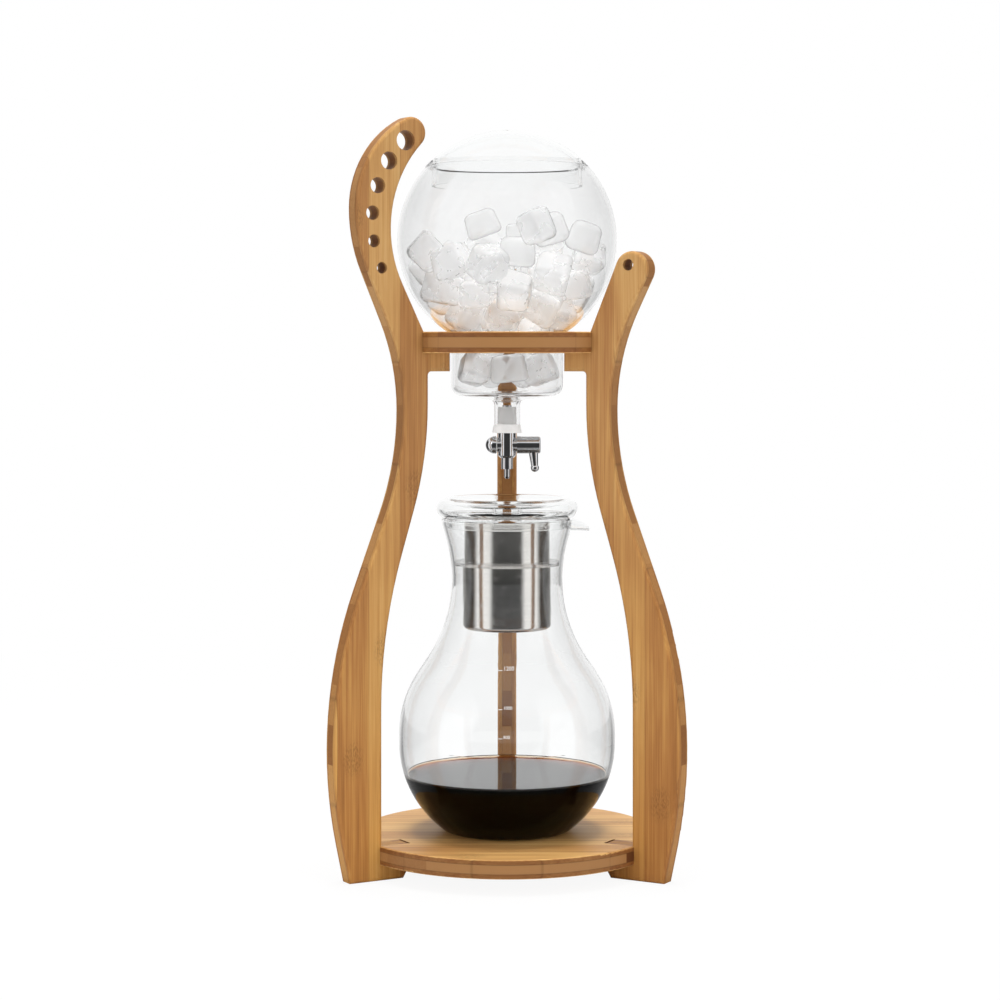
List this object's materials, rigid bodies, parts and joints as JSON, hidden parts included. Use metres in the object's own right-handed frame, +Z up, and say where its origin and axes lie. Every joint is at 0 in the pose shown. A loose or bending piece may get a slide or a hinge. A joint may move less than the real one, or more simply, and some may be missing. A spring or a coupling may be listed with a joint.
{
  "type": "cold drip coffee tower",
  "caption": "Cold drip coffee tower: a bamboo frame holds a glass water globe with a drip tap over a glass carafe with a steel filter.",
  "frame": {"origin": "on the floor, in the middle of the bounding box; the tower's axis stands 15.75 mm towards -Y", "axes": "+Z up along the tower, -Y the front where the carafe comes out, +X to the right seen from the front"},
  "size_m": [0.2266, 0.2245, 0.4832],
  "materials": {
    "bamboo": "satin lacquer",
    "glass": "clear",
    "silicone": "translucent matte",
    "chrome": "polished",
    "steel": "brushed",
    "seal": "matte",
    "nylon": "matte"
  },
  "bodies": {
    "frame": {"tall_leg": "bamboo", "right_leg": "bamboo", "back_leg": "bamboo", "base_disc": "bamboo", "ring_plate": "bamboo"},
    "globe": {"water_globe": "glass", "neck_stopper": "silicone", "tap_body": "chrome", "drip_nozzle": "chrome", "nozzle_seal": "seal"},
    "globe_cover": {"globe_lid": "glass"},
    "cock": {"tap_cock": "chrome", "cock_seals": "seal", "cock_washer": "nylon", "cock_cap": "chrome", "tap_lever": "chrome"},
    "jug": {"carafe": "glass"},
    "filter": {"filter_can": "steel", "support_ring": "silicone", "filter_screen": "steel", "water_spreader": "steel"},
    "jug_cover": {"carafe_lid": "glass"}
  },
  "joints": [
    {"name": "globe_lift", "type": "slide", "parent": "frame", "child": "globe", "axis": [0, 0, 1], "range_m": [0, 0.025]},
    {"name": "globe_lid_lift", "type": "slide", "parent": "globe", "child": "globe_cover", "axis": [0, 0, 1], "range_m": [0, 0.12]},
    {"name": "valve_turn", "type": "hinge", "parent": "globe", "child": "cock", "pos_m": [0, -0.01575, 0.27287], "axis": [-1, 0, 0], "range_deg": [0, 90]},
    {"name": "carafe_draw", "type": "slide", "parent": "frame", "child": "jug", "axis": [0, -1, 0], "range_m": [0, 0.2]},
    {"name": "filter_lift", "type": "slide", "parent": "jug", "child": "filter", "axis": [0, 0, 1], "range_m": [0, 0.004]},
    {"name": "carafe_lid_lift", "type": "slide", "parent": "jug", "child": "jug_cover", "axis": [0, 0, 1], "range_m": [0, 0.012]}
  ]
}
